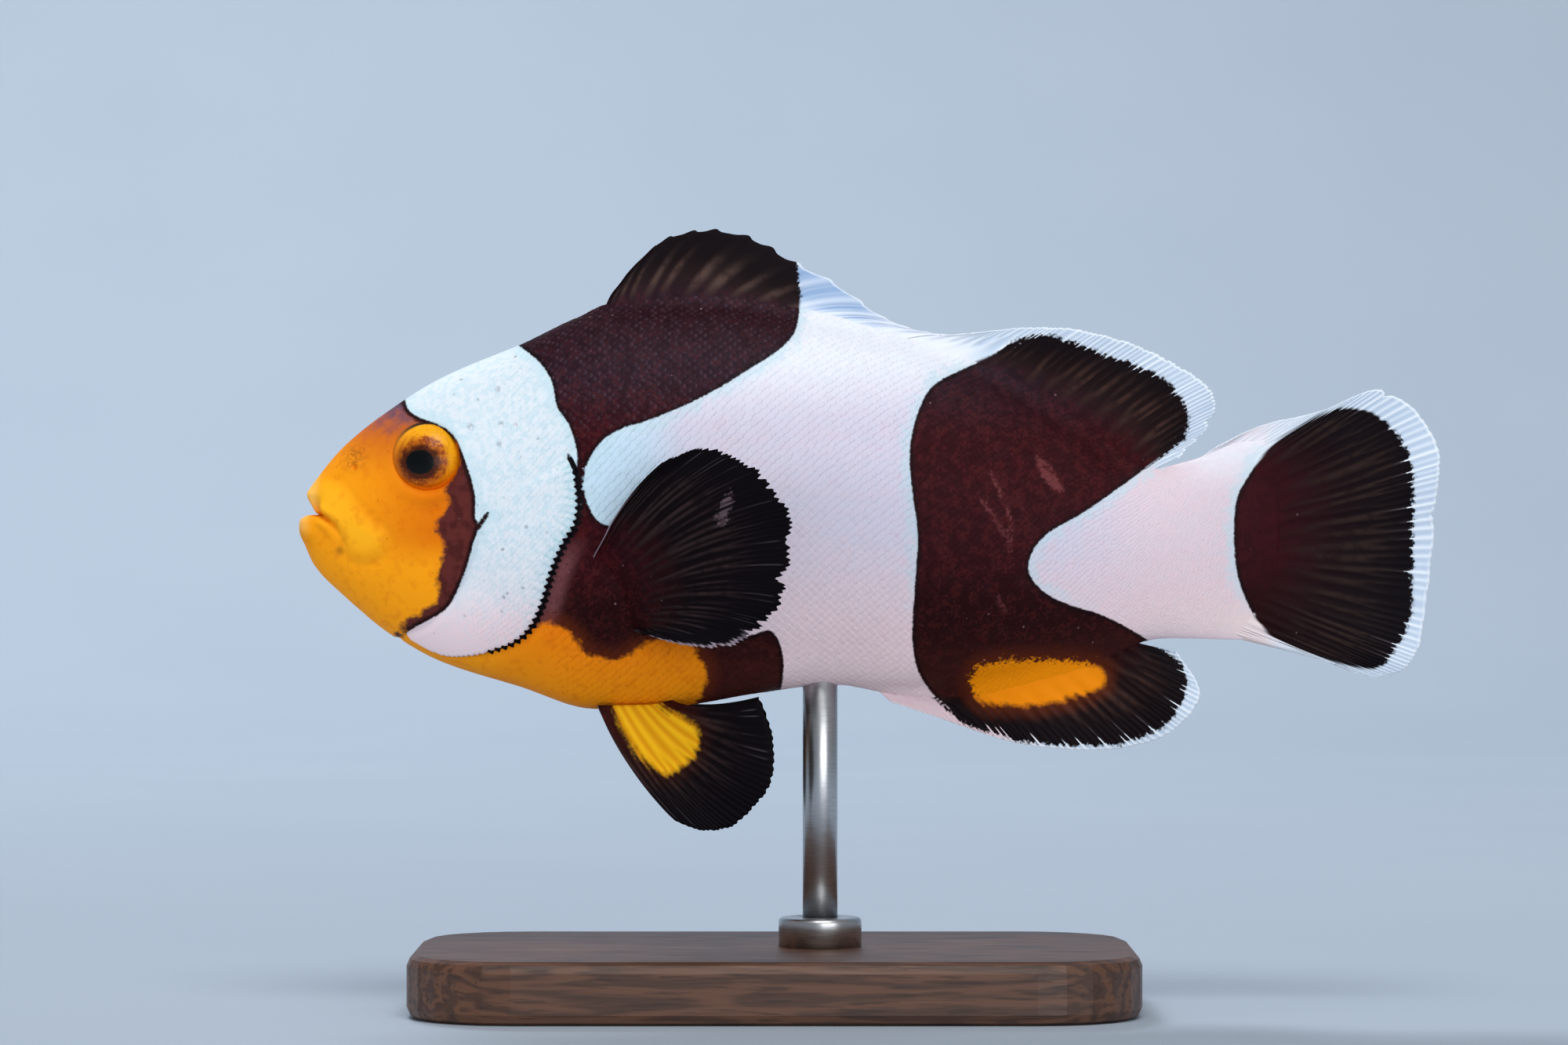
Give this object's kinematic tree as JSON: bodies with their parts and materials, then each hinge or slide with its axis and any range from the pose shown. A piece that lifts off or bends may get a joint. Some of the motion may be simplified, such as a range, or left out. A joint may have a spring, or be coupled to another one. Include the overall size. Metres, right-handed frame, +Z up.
{
  "type": "clownfish model on a display stand",
  "caption": "Life-size still model of a banded clownfish, fins spread, held level by a rod on a flat wooden base.",
  "frame": {"origin": "on the underside of the stand's base, half way between the snout and the tip of the tail fin", "axes": "the fish looks along -X with its tail to +X, its left side is turned to -Y, and +Z is up"},
  "size_m": [0.0851, 0.032, 0.0583],
  "materials": {
    "orange_skin": "painted scaly skin, satin",
    "white_skin": "painted scaly skin, satin",
    "dark_fin": "thin rayed fin, satin",
    "orange_fin": "thin rayed fin, satin",
    "eye": "wet gloss",
    "stand_wood": "oiled walnut, satin",
    "stand_steel": "brushed"
  },
  "bodies": {
    "root": {"head": "orange_skin", "lower_jaw": "orange_skin", "upper_jaw_left": "orange_skin", "upper_jaw_right": "orange_skin", "gill_cover_left": "white_skin", "gill_cover_right": "white_skin", "trunk": "white_skin", "tail_stalk": "white_skin", "dorsal_fin_spiny": "dark_fin", "dorsal_fin_soft": "dark_fin", "anal_fin": "dark_fin", "caudal_fin": "dark_fin", "pectoral_fin_left": "dark_fin", "pectoral_fin_right": "dark_fin", "pelvic_fin_left": "orange_fin", "pelvic_fin_right": "orange_fin", "eye_left": "eye", "eye_right": "eye", "stand_base": "stand_wood", "stand_rod": "stand_steel", "stand_collar": "stand_steel"}
  },
  "joints": []
}
